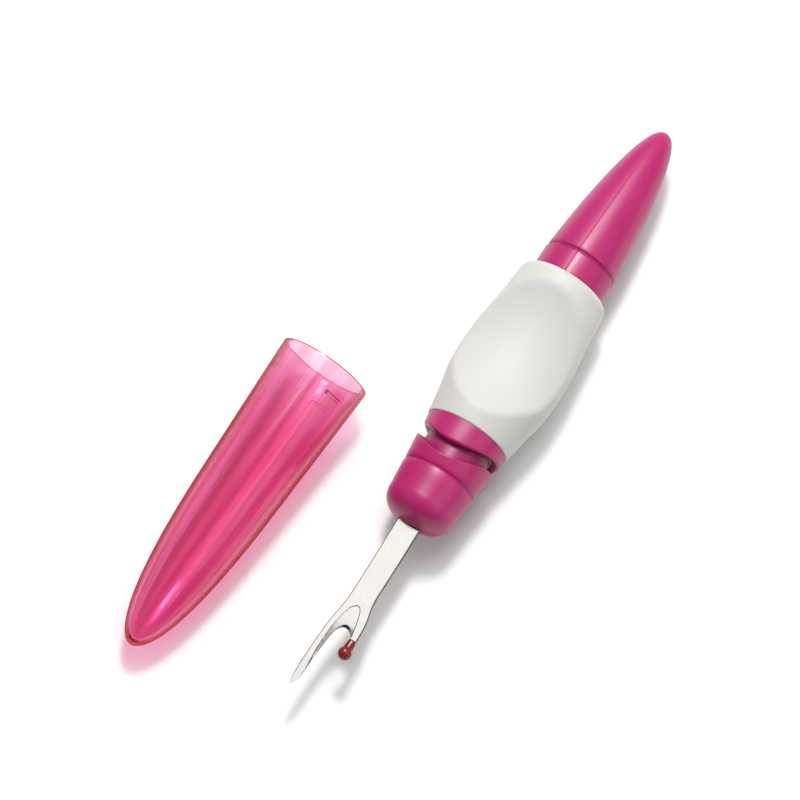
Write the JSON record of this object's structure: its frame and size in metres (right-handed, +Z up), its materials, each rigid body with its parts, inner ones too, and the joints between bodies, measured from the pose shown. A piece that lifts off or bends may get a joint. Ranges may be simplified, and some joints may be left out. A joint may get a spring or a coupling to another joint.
{
  "type": "seam ripper",
  "caption": "Seam ripper with a forked steel blade, a bead on its short tine, a soft-grip handle with finger recesses and a loose transparent cap beside it.",
  "frame": {"origin": "centre of the footprint of the handle and the cap together, on the table they rest on", "axes": "+X along the handle's axis from the blade towards the tail, +Z up from the table, +Y from the handle towards the cap"},
  "size_m": [0.1392, 0.0498, 0.0192],
  "materials": {
    "magenta_plastic": "satin moulded plastic with a soft gloss",
    "soft_white": "matte warm white soft-touch elastomer",
    "polished_steel": "polished stamped steel",
    "red_bead": "glossy dark red",
    "clear_pink": "transparent pink, polished"
  },
  "bodies": {
    "handle": {"handle_core": "magenta_plastic", "grip_sleeve": "soft_white", "tail_cone": "magenta_plastic", "blade": "polished_steel", "ball_tip": "red_bead"},
    "cap": {"cap": "clear_pink"}
  },
  "joints": [
    {"name": "cap_slide", "type": "slide", "parent": "handle", "child": "cap", "axis": [1, 0, 0], "range_m": [-0.056, 0.0023]}
  ]
}
